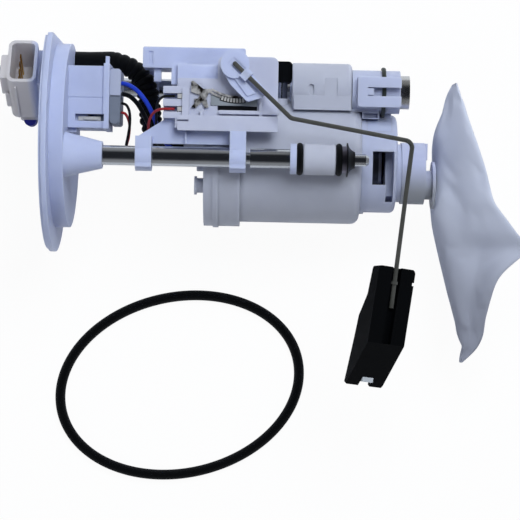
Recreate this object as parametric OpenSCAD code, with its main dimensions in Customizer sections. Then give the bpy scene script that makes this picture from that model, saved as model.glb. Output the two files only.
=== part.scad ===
// In-tank fuel pump module with level sender, filter case, suction strainer and loose tank seal.
// X runs from the tank flange to the strainer, Y is up in the bench view, Z faces the viewer.
// The origin is the centre of the flange's seating face on the axis of its spigot.

/* [Flange] */
// Radius of the flange disc
flange_r = 63.8; // [60:0.1:68]
// Thickness of the flange disc
flange_t = 4.1; // [3:0.1:6]
// Distance of the flat on the rim from the axis
flange_flat = 52.8; // [51.5:0.1:58]
// Bevel on the outer edge of the rim
rim_bevel = 1.4; // [0.6:0.1:2.5]
// Radius of the spigot that enters the tank
spigot_r = 50.3; // [50:0.1:51]
// Length of the spigot
spigot_len = 7.5; // [6:0.1:10]
// Wall of the flange recess and of its spigot
spigot_wall = 2.6; // [2:0.1:3.5]
// Number of ribs in the outer recess
rib_count = 8; // [6:1:12]

/* [Harness socket] */
// Tilt of the socket towards the flat of the flange
socket_tilt = 30; // [24:1:34]
// Height of the socket body across its mouth
socket_h = 27; // [25:0.5:28]
// Width of the socket body along X
socket_w = 16; // [14:0.5:17]
// Length of the socket body
socket_len = 34; // [31:0.5:36]
// Depth of the socket mouth
socket_depth = 22; // [16:0.5:25]
// Wall of the socket
socket_wall = 1.8; // [1.2:0.1:2.4]
// Number of blade terminals
blade_count = 4; // [2:1:5]

/* [Fuel outlet] */
// Radius of the outlet nipple
nipple_r = 4; // [3.5:0.1:4.5]
// Bore radius of the outlet nipple
nipple_bore = 2.6; // [2:0.1:3]
// Length of the nipple outside the flange
nipple_len = 34; // [28:0.5:40]
// Smooth end of the nipple that the hose connector grips
nipple_grip = 15; // [12:0.5:17]

/* [Columns] */
// Diameter of the guide rods
rod_d = 6.5; // [5.5:0.1:7]
// Outer diameter of the spacer sleeves
sleeve_d = 10.5; // [9.5:0.1:11]
// Radial clearance between a rod and what slides on it
rod_clear = 0.1; // [0.05:0.05:0.3]
// Height of the front rod above the axis plane
front_rod_z = 36; // [35.5:0.1:36.5]
// Place of the front rod across the module
front_rod_y = -12; // [-13:0.1:-11]
// Gap between the case and the eye of the front column
front_gap = 2.1; // [1.9:0.1:3]
// Gap between the case and the eye of the rear column
rear_gap = 3.3; // [2.4:0.1:3.6]
// Length of the conical rod boss
boss_len = 20.1; // [16:0.1:24]
// Length of the sleeve between boss and bracket
sleeve1_len = 17.6; // [14:0.1:22]
// Length of a bracket ring along the rod
ring_len = 8.6; // [7:0.1:10]
// Length of the sleeve between the bracket rings
sleeve2_len = 41.4; // [38:0.1:46]
// Free stretch of rod behind the bracket
column_play = 2.3; // [1:0.1:4]
// Length of the sleeve below the bracket
sleeve3_len = 21.3; // [18:0.1:26]
// Thickness of the plastic washer
washer_t = 3.4; // [2:0.1:4]
// Diameter of the plastic washer
washer_d = 16.4; // [14:0.1:17]
// Section of the rubber cushion rings
cushion_t = 3.4; // [2.5:0.1:4]
// Outer diameter of the rubber cushion rings
cushion_d = 17.4; // [16:0.1:18]
// Length of the eye on the filter case
eye_len = 17.4; // [14:0.1:20]
// Diameter of the eye on the filter case
eye_d = 16.6; // [15:0.1:17]
// Thickness of the end washer
end_washer_t = 2.4; // [1:0.1:3]
// Outer diameter of the flared push nut
nut_d = 18.2; // [16:0.1:18.4]
// Length of the push nut along the rod
nut_t = 4.4; // [3:0.1:5]
// Free end of the rod past the push nut
rod_tip = 7.5; // [5:0.1:10]

/* [Filter case] */
// Radius of the filter case
case_r = 33.6; // [32.5:0.1:34]
// Wall of the filter case
case_wall = 2.4; // [1.8:0.1:3]
// Length of the case from cap face to lower end
case_len = 85.4; // [82:0.1:90]
// Wall of the cap over the case
cap_wall = 2.5; // [2:0.1:2.8]
// Length of the cap band
cap_len = 19.7; // [16:0.1:24]
// Thickness of the cap's end plate
cap_plate = 3; // [2:0.1:4]
// Fit between cap and case
cap_clear = 0.1; // [0.05:0.05:0.3]

/* [Pump] */
// Radius of the pump can
pump_r = 19; // [18:0.1:19.2]
// Wall of the pump can
pump_wall = 1.2; // [0.8:0.1:1.6]
// Length of the pump can
pump_len = 66; // [60:0.5:68]
// Radius of the armature
armature_r = 12; // [10:0.1:13]
// Radius of the motor shaft
shaft_r = 1.6; // [1.3:0.1:2]
// Running clearance of shafts and sliding valves
run_clear = 0.05; // [0.02:0.01:0.09]
// Radius of the impeller
impeller_r = 14; // [12:0.1:15]
// Thickness of the impeller
impeller_t = 3.6; // [3:0.1:4]
// Number of vane pockets
vane_count = 24; // [12:1:36]

/* [Regulator] */
// Radius of the pressure regulator can
regulator_r = 8.6; // [8:0.1:9]
// Length of the regulator can
regulator_len = 24; // [20:0.5:26]
// Outer radius of the regulator housing
regulator_housing_r = 11.7; // [11.2:0.1:12.5]
// Height of the regulator axis across the module
regulator_y = 27; // [26:0.1:28]

/* [Sender] */
// Diameter of the float wire
wire_d = 2.4; // [2:0.1:2.6]
// Height of the float wire plane
wire_z = 48; // [47.6:0.1:49]
// Bend radius of the float wire
wire_bend = 4; // [3:0.5:6]
// Thickness of the sender base plate
sender_t = 3; // [2.5:0.1:3.2]
// Thickness of the resistor card
card_t = 1; // [0.6:0.1:1.4]
// Number of contact pads on the card
pad_count = 8; // [5:1:11]
// Width of a contact pad
pad_w = 1; // [0.6:0.1:1.2]

/* [Float] */
// Width of the float
float_w = 22; // [18:0.5:26]
// Length of the float
float_len = 64; // [58:0.5:70]
// Roll of the float about its wire
float_roll = 25; // [10:1:30]

/* [Strainer] */
// Thickness of the strainer bag
sock_t = 7; // [5:0.5:9]
// Outer radius of the suction neck
neck_r = 8; // [7:0.1:9]

/* [Tank seal] */
// Section diameter of the seal ring
seal_d = 5.8; // [5:0.1:6.5]
// Long half axis of the oval that the loose ring lies in
seal_a = 70; // [66:0.5:72]
// Short half axis of that oval
seal_b = 51; // [47:0.5:53]

/* [Hidden] */
$fn = 64;

eps = 0.01;
fit = 0.05;
bench_z = -flange_r;

// Stations of the front and rear columns along X
x_boss_end = spigot_len + boss_len;
x_ring1 = x_boss_end + sleeve1_len;
x_sleeve2 = x_ring1 + ring_len;
x_ring2 = x_sleeve2 + sleeve2_len;
x_bracket_end = x_ring2 + ring_len;
x_sleeve3 = x_bracket_end + column_play;
x_washer = x_sleeve3 + sleeve3_len;
x_cushion1 = x_washer + washer_t;
x_eye = x_cushion1 + cushion_t;
x_cushion2 = x_eye + eye_len;
x_end_washer = x_cushion2 + cushion_t;
x_nut = x_end_washer + end_washer_t;
x_rod_end = x_nut + nut_t + rod_tip;
case_y = -11.5;
case_z = front_rod_z - front_gap - eye_d / 2 - case_r;
rear_angle = 24.86;
rear_reach = case_r + eye_d / 2 + rear_gap;
rear_rod_y = case_y + rear_reach * cos(rear_angle);
rear_rod_z = case_z - rear_reach * sin(rear_angle);
rod_places = [[front_rod_y, front_rod_z], [rear_rod_y, rear_rod_z]];
rod_r = rod_d / 2;
rod_hole_r = rod_r + rod_clear;
rod_start = 9.5;
boss_tip_r = 7.2;
boss_base_r = [12, 10];
ring_r = 8;

// Filter case and pump, all on one axis
cap_r = case_r + cap_clear + cap_wall;
x_case = 81;
x_nozzle = x_case - 12;
nozzle_y = -2;
x_case_end = x_case + case_len;
x_shell = x_case + cap_plate;
well_r = pump_r + 0.6;
well_wall = 1.8;
x_pump = 110;
x_pump_end = x_pump + pump_len;
upper_y = 28.5;
upper_z = 3;
upper_r = 13.8;
x_upper = 128;
x_upper_end = 160.7;
riser_x = 122.2;
riser_z = 2;
riser_y0 = 22.4;
elbow_y = [31.4, 42.6];

// Pump holder, regulator housing and suction parts at the lower end
x_holder_end = x_case_end + 19.6;
holder_r = 27;
holder_wall = 2.2;
regulator_z = 6;
x_regulator = 168;
x_regulator_end = x_regulator + regulator_len;
x_housing_end = 186.8;
suction_y = -16.5;
suction_r = 17;
x_collar_end = x_holder_end + 3.1;
x_suction_end = x_collar_end + 13;
neck_y = -22.7;
x_neck_end = x_suction_end + 4.2;
spine_t = 1.6;
x_bag = x_neck_end + spine_t + 0.3;

// Sender stack above the bracket web
web_z = 28.6;
web_t = 3;
base_z = web_z + web_t;
card_z = base_z + sender_t;
rotor_z = 40.4;
pivot = [97.2, 36.9];
wire_r = wire_d / 2;
wire_points = [pivot, [127.3, 8.8], [191.6, -2.2], [182, -90]];
float_entry = [184.3, -69.5];
float_turn = -7.6;

// Route points of the hose and the wires
lug_x = 65.4;
hose_r = 5.6;
hose_z = -12.6;
nozzle_z = -10.4;
hose_start = [12.06, 41, hose_z];
hose_route = [hose_start, [16, 41, hose_z], [22, 41.4, hose_z], [28, 41.8, hose_z], [35, 41.4, hose_z],
    [41, 39, hose_z], [46, 34.4, hose_z], [49.8, 28.6, hose_z], [52, 22, hose_z + 0.4],
    [53, 14.6, hose_z + 1], [53.4, 8, nozzle_z], [55.4, 2.4, nozzle_z], [60, -1.2, nozzle_z],
    [65, nozzle_y, nozzle_z], [x_nozzle - fit, nozzle_y, nozzle_z]];
supply_r = 1.25;
signal_r = 0.75;
blue_route = [[35.8, 24, 17], [40, 22.6, 18.5], [45, 18.8, 19.8], [49.5, 13.4, 19.5], [53, 7.6, 17.5],
    [56, 1.5, 14], [60, -3.5, 10.5], [66, -8, 8], [72, -9.5, 7.5], [76.4, -9.5, 7.5]];
black_route = [[35.8, 18.6, 17], [40, 17.2, 15.5], [44, 13.6, 14], [47.5, 8.5, 12.5], [51, 3, 11],
    [55, -3, 8], [60, -9, 4], [66, -13, 2], [72, -14, 1.5], [76.4, -14, 1.5]];
thin_black_route = [[35.8, 13.8, 20], [38.6, 12.8, 20], [40.4, 9.4, 20.6], [40.8, 4.6, 21.6], [40, -1, 22.6],
    [39.2, -6, 23.4], [39.6, -11, 24], [42.6, -15, 24], [47, -15, 23.6], [51, -10, 23.2], [53.6, -3, 23.2],
    [55, 5, 24.2], [55.2, 12, 27.4], [56.2, 17, 31.8], [58.8, 19.6, 35.2], [62, 20.1, 36], [lug_x, 20.1, 36]];
thin_red_route = [[35.8, 9.6, 20], [38.2, 8, 19.6], [39, 4.6, 19.4], [38.4, -1, 20.4], [37.6, -6, 21.6],
    [38, -12.4, 22.4], [41.6, -17.4, 22.2], [47.6, -17.4, 20.4], [50.4, -12, 19.6], [50.8, -4, 20.2],
    [50.8, 2, 23.4], [51.6, 7, 28.4], [54, 11.2, 32.6], [57.8, 13, 35.4], [62, 13.3, 36],
    [lug_x, 13.3, 36]];

// Place of the fuel outlet on the flange
nipple_place = [36, -22];
stem_r = nipple_r + 0.7;

// Colours of the moulded, rubber and metal pieces
natural = [0.87, 0.88, 0.95];
cream = [0.88, 0.86, 0.82];
black_plastic = [0.06, 0.06, 0.07];
zinc = [0.7, 0.73, 0.75];
steel = [0.6, 0.6, 0.58];

// Extrude a drawing of the YZ plane along X
module extrude_x(x0, x1) {
    translate([x0, 0, 0]) rotate([90, 0, 90]) linear_extrude(x1 - x0) children();
}

// Cylinder along X at a place of the YZ plane
module rod_x(x0, x1, r, y = 0, z = 0) {
    translate([x0, y, z]) rotate([0, 90, 0]) cylinder(r = r, h = x1 - x0);
}

// Tube along X
module tube_x(x0, x1, r, bore, y = 0, z = 0) {
    difference() {
        rod_x(x0, x1, r, y, z);
        rod_x(x0 - 1, x1 + 1, bore, y, z);
    }
}

// Solid of revolution along X whose two rims are rounded
module round_rod(x0, x1, r, round0, round1, y, z) {
    l = x1 - x0;
    low = round0 == 0 ? [[r, 0]] : [for (a = [0:18:90])
        [r - round0 * (1 - sin(a)), round0 * (1 - cos(a))]];
    high = round1 == 0 ? [[r, l]] : [for (a = [0:18:90])
        [r - round1 * (1 - cos(a)), l - round1 * (1 - sin(a))]];
    translate([x0, y, z]) rotate([0, 90, 0]) rotate_extrude()
        polygon(concat([[0, 0]], low, high, [[0, l]]));
}

// Box from its lowest to its highest corner
module block(low, high) {
    translate(low) cube(high - low);
}

// Rounded square of the XY plane, extruded along Z
module soft_block(low, high, r) {
    w = high[0] - low[0];
    d = high[1] - low[1];
    translate([low[0], low[1], low[2]]) linear_extrude(high[2] - low[2]) {
        translate([r, 0]) square([w - 2 * r, d]);
        translate([0, r]) square([w, d - 2 * r]);
        for (x = [r, w - r], y = [r, d - r]) translate([x, y]) circle(r = r);
    }
}

// Unit vector, and a vector square to it that keeps its twist small
function unit(v) = v / norm(v);
function tangent(p, i) = unit(p[min(i + 1, len(p) - 1)] - p[max(i - 1, 0)]);
function side_of(t, last) = unit(last - (last * t) * t);
function frames(p, i = 0, last = [0, 0, 1]) =
    i == len(p) ? [] :
    let (s = side_of(tangent(p, i), last)) concat([s], frames(p, i + 1, s));

// Tube swept along a route
module swept_tube(route, r, sides) {
    sides_at = frames(route);
    points = [for (i = [0:len(route) - 1], k = [0:sides - 1])
        let (s = sides_at[i], b = cross(tangent(route, i), s), a = 360 * k / sides)
        route[i] + r * (cos(a) * s + sin(a) * b)];
    rings = len(route) - 1;
    walls = [for (i = [0:rings - 1], k = [0:sides - 1])
        let (n = (k + 1) % sides, a = i * sides, b = a + sides) [a + k, b + k, b + n, a + n]];
    start = [for (k = [0:sides - 1]) k];
    end = [for (k = [sides - 1:-1:0]) rings * sides + k];
    polyhedron(points = points, faces = concat([start], walls, [end]), convexity = 6);
}

// Flange disc with its flat, spigot, rod bosses, inner connector box and outer harness socket
module flange_outline(r, flat) {
    intersection() {
        circle(r = r, $fn = 128);
        translate([-2 * r, -2 * r]) square([2 * r + flat, 4 * r]);
    }
}

socket_gap = 5;
socket_x1 = -flange_t - socket_gap;
socket_x0 = socket_x1 - socket_w;
socket_y = 38;
socket_z = 28;
latch_out = 3.6;
plug_x = -15.2;
plug_top = 8.2;
box_y = [3.2, 36.5];
box_z = [-4, 24];
box_end = 28.4;

// Frame of the tilted socket, with its origin in the middle of the mouth
module socket_frame() translate([0, socket_y, socket_z]) rotate([-socket_tilt, 0, 0]) children();

module socket_shell() {
    half = socket_h / 2;
    socket_frame() {
        difference() {
            union() {
                soft_block([socket_x0, -half, -socket_len], [socket_x1, half, 0], 4);
                soft_block([socket_x0 - latch_out, -half + 3, -16], [socket_x0 + 4, 4.5, -1.2], 1);
                soft_block([socket_x0 - latch_out / 2, -half + 1.5, -26], [socket_x0 + 4, 6, -14], 1);
                block([socket_x1 - 4, -half + 3, -socket_len + 1], [-flange_t + 1.5, half - 2, -6]);
            }
            soft_block([socket_x0 + socket_wall, -half + socket_wall, -socket_depth],
                [socket_x1 - socket_wall, half - socket_wall, 1], 2.6);
        }
        block([socket_x0 + 4, -half - 0.9, -socket_len + 1], [socket_x0 + 5.2, -half + 1, -5]);
    }
    block([plug_x - 5, plug_top, -7], [-flange_t + 1.5, 23, 3.6]);
}

module rod_boss(place, base) {
    translate([spigot_len - eps, place[0], place[1]]) rotate([0, 90, 0])
        cylinder(r1 = base, r2 = boss_tip_r, h = boss_len + eps);
}

module inner_box() {
    difference() {
        union() {
            block([spigot_len - 1, box_y[0], box_z[0]], [box_end, box_y[1], box_z[1]]);
            block([26.4, box_y[0] - 0.4, box_z[0] - 1.4], [29.6, box_y[1] + 1.4, box_z[1] + 1.4]);
            block([27, box_y[1], 17], [29, box_y[1] + 5.6, 21]);
            block([spigot_len - 1, box_y[0] - 2.4, box_z[0] + 4], [12, box_y[0] + 1, box_z[1] - 4]);
        }
        block([18, box_y[0] + 3, box_z[0] + 3], [30.6, box_y[1] - 3, box_z[1] - 4]);
        block([11.4, 6.8, box_z[1] - 4.2], [27, 10.6, box_z[1] + 2]);
        block([spigot_len, 19.2, box_z[1] - 0.4], [26.4, 19.7, box_z[1] + 0.1]);
    }
}

module flange_cover() color(natural) {
    difference() {
        union() {
            translate([-flange_t, 0, 0]) rotate([90, 0, 90]) linear_extrude(flange_t)
                flange_outline(flange_r - rim_bevel, flange_flat - rim_bevel);
            extrude_x(-flange_t + rim_bevel, 0) flange_outline(flange_r, flange_flat);
            rod_x(-flange_t + rim_bevel, spigot_len, spigot_r);
            rod_boss(rod_places[0], boss_base_r[0]);
            rod_boss(rod_places[1], boss_base_r[1]);
            inner_box();
            socket_shell();
            rod_x(-flange_t - 8, -flange_t + 1, nipple_r + 3, nipple_place[0], nipple_place[1]);
            rod_x(spigot_len - 1, hose_start[0] - fit, hose_r + 1, hose_start[1], hose_z);
        }
        difference() {
            rod_x(-flange_t - 1, spigot_len - spigot_wall, spigot_r - spigot_wall);
            rod_x(-flange_t - 2, spigot_len, 9);
            for (i = [0:rib_count - 1]) rotate([360 * (i + 0.5) / rib_count, 0, 0])
                block([-flange_t + 0.6, 0, -0.9], [spigot_len, spigot_r, 0.9]);
            block([-flange_t - 1, 6, -15.5], [spigot_len, spigot_r, 30]);
            rod_x(-flange_t - 1, spigot_len, nipple_r + 4, nipple_place[0], nipple_place[1]);
            for (p = rod_places) rod_x(-flange_t + 1, spigot_len, boss_tip_r + 1.6, p[0], p[1]);
        }
        for (p = rod_places) rod_x(rod_start, x_boss_end + 1, rod_hole_r, p[0], p[1]);
        rod_x(-flange_t - 20, spigot_len + 8, stem_r + fit, nipple_place[0], nipple_place[1]);
    }
}

// Blade terminals that stand in the socket
blade_t = 0.8;
blade_w = 2.2;
blade_tip = 1.4;
blade_x = socket_x0 + 6;
blade_pitch = (socket_h - 2 * socket_wall - 4) / blade_count;
module socket_blades() color([0.8, 0.6, 0.25])
    socket_frame() for (i = [0:blade_count - 1])
        translate([blade_x, (i - (blade_count - 1) / 2) * blade_pitch, -socket_depth]) {
            translate([-blade_t / 2, -blade_w / 2, 0]) cube([blade_t, blade_w, socket_depth - 6]);
            translate([0, 0, socket_depth - 6]) linear_extrude(blade_tip, scale = 0.4)
                square([blade_t, blade_w], center = true);
        }

// Blue plug under the socket
vent_r = 3.3;
module vent_plug() color([0.12, 0.12, 0.5])
    translate([plug_x, plug_top - fit, -6]) difference() {
        cylinder(r = vent_r, h = 9);
        translate([-2 * vent_r, 0, -1]) cube([4 * vent_r, 2 * vent_r, 11]);
    }

// Steel outlet nipple: a smooth end for the connector, its bead, and a thicker stem in the flange
module outlet_nipple() color(zinc) {
    tip = -flange_t - nipple_len;
    difference() {
        union() {
            rod_x(tip, tip + nipple_grip + 1, nipple_r, nipple_place[0], nipple_place[1]);
            rod_x(tip + nipple_grip, spigot_len + 7, stem_r, nipple_place[0], nipple_place[1]);
            rod_x(tip + nipple_grip, tip + nipple_grip + 1.8, nipple_r + 1.9, nipple_place[0], nipple_place[1]);
            rod_x(-flange_t - 9.7, -flange_t - 8.1, stem_r + 1.6, nipple_place[0], nipple_place[1]);
        }
        rod_x(tip - 1, spigot_len + 8, nipple_bore, nipple_place[0], nipple_place[1]);
    }
}

// Blades of the inner connector, seen in the slot of its box
module inner_terminals() color(zinc) {
    block([13, 7.2, box_z[1] - 4.1], [25, 9.4, box_z[1] - 2.6]);
    block([16, 7.6, box_z[1] - 2.6], [23.6, 9.2, box_z[1] - 1.4]);
}

// Grey plug of the internal harness
plug_y = [5.6, 35.4];
plug_z = [box_z[0] + 1, box_z[1] - 2];
module harness_plug() color([0.62, 0.66, 0.68]) {
    difference() {
        union() {
            soft_block([29.7, plug_y[0], plug_z[0]], [35.4, plug_y[1], plug_z[1]], 1.5);
            block([22, box_y[0] + 3.3, box_z[0] + 3.3], [29.8, box_y[1] - 3.3, box_z[1] - 4.3]);
            translate([32.4, 8.2, plug_z[1] - 0.5]) cylinder(r = 2.6, h = 2.2);
        }
        block([29, 20.2, plug_z[1] - 1], [36, 21, plug_z[1] + 1]);
        for (w = [blue_route, black_route]) translate([28, w[0][1], w[0][2]]) rotate([0, 90, 0])
            cylinder(r = supply_r + 0.15, h = 9);
        for (w = [thin_black_route, thin_red_route]) translate([28, w[0][1], w[0][2]]) rotate([0, 90, 0])
            cylinder(r = signal_r + 0.15, h = 9);
    }
}

// Two guide rods with bevelled ends
module guide_rods() color(zinc)
    for (p = rod_places) {
        rod_x(rod_start, x_rod_end - 1.6, rod_r, p[0], p[1]);
        translate([x_rod_end - 1.6, p[0], p[1]]) rotate([0, 90, 0])
            cylinder(r1 = rod_r, r2 = rod_r - 1.1, h = 1.6);
    }

module sleeves(x0, x1) color(zinc)
    for (p = rod_places) tube_x(x0, x1, sleeve_d / 2, rod_hole_r, p[0], p[1]);
module upper_sleeves() sleeves(x_boss_end, x_ring1);
module middle_sleeves() sleeves(x_sleeve2, x_ring2);
module lower_sleeves() sleeves(x_sleeve3, x_washer);

module backing_washers() color(natural)
    for (p = rod_places) tube_x(x_washer, x_cushion1, washer_d / 2, rod_hole_r, p[0], p[1]);

// Rubber rings on both sides of each eye, rounded on their rims
module cushion_ring(x, p) {
    flat_r = cushion_d / 2 - cushion_t / 2;
    tube_x(x, x + cushion_t, flat_r, rod_hole_r, p[0], p[1]);
    translate([x + cushion_t / 2, p[0], p[1]]) rotate([0, 90, 0]) rotate_extrude()
        translate([flat_r, 0]) intersection() {
            circle(r = cushion_t / 2, $fn = 32);
            translate([-eps, -cushion_t]) square(2 * cushion_t);
        }
}
module rubber_cushions() color(black_plastic)
    for (p = rod_places, x = [x_cushion1, x_cushion2]) cushion_ring(x, p);

module end_washers() color([0.5, 0.5, 0.53])
    for (p = rod_places) tube_x(x_end_washer, x_nut, cushion_d / 2 - 1.4, rod_hole_r, p[0], p[1]);

// Push nuts whose flare hollows towards the rod
nut_rim = 0.6;
flare_r = nut_d / 2 - rod_r - 0.5;
module push_nuts() color(black_plastic)
    for (p = rod_places) translate([x_nut, p[0], p[1]]) rotate([0, 90, 0]) rotate_extrude()
        difference() {
            translate([rod_r + fit, 0]) square([nut_d / 2 - rod_r - fit, nut_t]);
            translate([nut_d / 2 + 0.4, nut_rim + flare_r]) circle(r = flare_r);
        }

// Bracket: rings on both rods, front web, top plate and the legs between them
ring_flat = 6.4;
ledge_y = [1.9, 10];
top_plate_y = [37.6, 49];
top_plate_z = [-6.5, 9.5];
back_rail_y = [38.4, 43];
leg_x = [63, 71];
module front_ring(x, top) {
    y = front_rod_y;
    z = front_rod_z;
    difference() {
        union() {
            rod_x(x, x + ring_len, ring_r, y, z);
            block([x, y - 6, z - ring_flat], [x + ring_len, top, z + ring_flat + 0.6]);
        }
        block([x - 1, y - ring_r - 1, z - ring_r - 1], [x + ring_len + 1, top + 1, z - ring_flat]);
    }
}
back_rail_x = 52.4;
module rear_ring(x) {
    rod_x(x, x + ring_len, ring_r, rear_rod_y, rear_rod_z);
    block([x, rear_rod_y, rear_rod_z], [x + ring_len, back_rail_y[1] - 1, rear_rod_z + 7.4]);
}
module web_outline() {
    polygon([[x_ring1, front_rod_y], [x_ring1, -1.7], [59.4, 7.6], [59.4, 25.5], [leg_x[0] + 3.4, 25.5],
        [leg_x[0] + 3.4, top_plate_y[0]], [x_bracket_end, top_plate_y[0]], [x_bracket_end, -5],
        [x_ring2, front_rod_y], [x_ring2, -5], [x_sleeve2, -5], [x_sleeve2, front_rod_y]]);
}
module rod_bracket() color(natural) {
    difference() {
        union() {
            front_ring(x_ring1, -1.7);
            front_ring(x_ring2, ledge_y[0] - 0.1);
            for (x = [x_ring1, x_ring2]) rear_ring(x);
            translate([0, 0, web_z]) linear_extrude(web_t) web_outline();
            block([leg_x[0], 27, -4], [leg_x[1], top_plate_y[0] + 1, web_z + eps]);
            block([x_bracket_end - 4, 28, -4], [x_bracket_end, top_plate_y[0] + 1, web_z + eps]);
            soft_block([46.4, top_plate_y[0], top_plate_z[0]], [102.4, top_plate_y[1], top_plate_z[1]], 1);
            block([back_rail_x, back_rail_y[0], rear_rod_z + 2],
                [x_bracket_end, back_rail_y[1], top_plate_z[0] + eps]);
            block([52.4, 30.4, 2], [56.4, top_plate_y[0] + 1, 6]);
            block([71, -5, base_z - eps], [72, ledge_y[0] - 0.5, base_z + 2.4]);
        }
        for (p = rod_places) rod_x(x_ring1 - 1, x_bracket_end + 1, rod_hole_r, p[0], p[1]);
        rod_x(x_sleeve2, x_ring2, sleeve_d / 2 + rod_clear, rear_rod_y, rear_rod_z);
        block([49.6, top_plate_y[0] + 2, top_plate_z[1] - 0.8],
            [52, top_plate_y[1] - 2.4, top_plate_z[1] + 1]);
        translate([pivot[0], pivot[1], web_z - 1]) cylinder(r = wire_r + 1.2, h = web_t + 2);
    }
}

// Sender body: base plate, ledge, terminal blocks and the pivot tower
card_low = [84.6, 15.7];
card_high = [109.4, 21];
base_low = [66.6, 2.6];
base_high = [120.2, 30];
ledge_x = [67, 120.6];
lug_block_x = [59.2, 69.6];
module sender_housing() color(natural) {
    difference() {
        union() {
            soft_block([base_low[0], base_low[1], base_z], [base_high[0], base_high[1], card_z], 1);
            soft_block([88, 20, base_z], [base_high[0], 42, card_z], 3.4);
            soft_block([ledge_x[0], ledge_y[0], card_z - eps], [ledge_x[1], ledge_y[1], 39.4], 1);
            soft_block([89, card_low[1] - 4.6, card_z - eps], [ledge_x[1], card_low[1] - 2.6, 37.6], 0.6);
            block([65.8, 3.4, base_z], [68, 9.4, 38]);
            for (y = [[21.6, 25.4], [14.8, 18.6], [8.4, 11.8]])
                block([lug_block_x[0], y[0], base_z], [lug_block_x[1], y[1], 37]);
            block([69.4, 8, card_z - eps], [73, 24.6, 38.4]);
            translate([pivot[0], pivot[1], card_z - eps]) cylinder(r = 4.2, h = rotor_z - card_z - 0.3);
            block([79, 10, card_z - eps], [81, 12.6, 38.6]);
            block([110.4, 10, card_z - eps], [112, 18, 37.4]);
        }
        translate([pivot[0], pivot[1], base_z - 1]) cylinder(r = wire_r + run_clear, h = 20);
        block([66.8, 6.6, 37], [73, 7.6, 40]);
        block([card_low[0] + 3.6, card_low[1] - 2.5, base_z - 1], [card_high[0], card_low[1] + 0.6, card_z + 1]);
        block([card_low[0] - 0.2, card_low[1] - 0.2, card_z - 0.6],
            [card_high[0] + 0.2, card_high[1] + 0.2, card_z + 1]);
    }
}

// Resistor card with its arc of contact pads
arc_centre = [98.5, 45.1];
pad_arc_r = 26.6;
module resistor_card() color([0.45, 0.47, 0.48]) {
    block([card_low[0], card_low[1], card_z - 0.6], [card_high[0], card_high[1], card_z - 0.6 + card_t]);
    for (i = [0:pad_count - 1]) {
        a = 253 + i * 24 / (pad_count - 1);
        translate([arc_centre[0] + pad_arc_r * cos(a), arc_centre[1] + pad_arc_r * sin(a),
            card_z - 0.6 + card_t - eps])
            rotate([0, 0, a]) translate([-1, -pad_w / 2, 0]) cube([2, pad_w, 0.3]);
    }
}

// Two tinned lugs that take the signal wires
module sender_terminals() color([0.72, 0.68, 0.6])
    for (w = [thin_black_route, thin_red_route]) {
        e = w[len(w) - 1];
        difference() {
            block([lug_x + 1.4, e[1] - 1.15, card_z], [lug_x + 3.8, e[1] + 1.15, e[2] + 1.3]);
            block([lug_x - 0.4, e[1] - 1.15, card_z], [lug_x + 1.5, e[1] + 1.15, e[2] + 1.3]);
            translate([e[0] - 1, e[1], e[2]]) rotate([0, 90, 0]) cylinder(r = signal_r + 0.05, h = 3);
        }
    }

// Fixed collector: crossed plate and two curved spring arms over the card
arm_arc_r = 24.2;
module spring_arm(r, a0, a1, z) {
    translate([arc_centre[0], arc_centre[1], z]) rotate([0, 0, a0]) rotate_extrude(angle = a1 - a0)
        translate([r, 0]) square([1.1, 0.5]);
}
module collector_contacts() color(steel) {
    z = card_z + 0.95;
    translate([0, 0, z]) linear_extrude(0.6) {
        polygon([[74, 28.4], [75, 28.6], [80.6, 24.2], [84.6, 24.4], [85.4, 23.4], [80.6, 20.4], [74, 22.6]]);
        polygon([[74.2, 14.4], [76.4, 14], [82.6, 20], [83.2, 21.6], [80, 22.4]]);
        polygon([[78.4, 20.6], [81.2, 21.4], [83.6, 14.6], [81.4, 14]]);
    }
    spring_arm(arm_arc_r, 237, 274, z);
    spring_arm(arm_arc_r + 1.6, 236, 252, z);
    block([75.8, 17, card_z], [78, 19, z + 0.3]);
}

// Arm holder that turns on the float wire's axle and clips the wire
holder_dir = atan2(wire_points[1][1] - pivot[1], wire_points[1][0] - pivot[0]);
tab_x = 6;
tab_len = 4.4;
module arm_holder() color(natural) {
    difference() {
        union() {
            translate([pivot[0], pivot[1], rotor_z]) cylinder(r = 7.6, h = 6.4);
            translate([pivot[0], pivot[1], rotor_z]) rotate([0, 0, holder_dir]) {
                linear_extrude(4.2) polygon([[0, -7.6], [3.6, -8.8], [6, -9.4], [17.4, -9.7], [18.8, -9],
                    [22.6, -2.6], [22.4, 1.6], [6, 3], [0, 4]]);
                translate([0, 0, 4.2 - eps]) linear_extrude(1) polygon([[4, -5.6], [16.4, -7.6], [18.6, -3.4],
                    [6, -2.2]]);
                translate([tab_x, -3, 4]) cube([tab_len, 6, wire_z - rotor_z - 2.4]);
            }
        }
        translate([pivot[0], pivot[1], rotor_z - 1]) cylinder(r = wire_r, h = 20);
        translate([pivot[0], pivot[1], wire_z]) sphere(r = wire_r + bend_swell + fit);
        translate([pivot[0], pivot[1], wire_z]) rotate([0, 90, holder_dir]) cylinder(r = wire_r + fit, h = 40);
        translate([pivot[0], pivot[1], wire_z]) rotate([0, 0, holder_dir]) translate([-3, -2.2, -1.6])
            cube([tab_x + 2.9, 4.4, 10]);
    }
}

// Two-legged wiper under the arm holder
module wiper_contacts() color(steel)
    translate([pivot[0], pivot[1], 0]) rotate([0, 0, holder_dir]) {
        block([8, -5.6, rotor_z - 0.5], [17, 1.6, rotor_z - eps]);
        for (y = [-5.2, -2.6]) {
            block([17 - eps, y, rotor_z - 0.5], [20.6, y + 1.4, rotor_z - eps]);
            block([20, y, card_z + 1.9], [20.6, y + 1.4, rotor_z - 0.4]);
        }
    }

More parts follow.
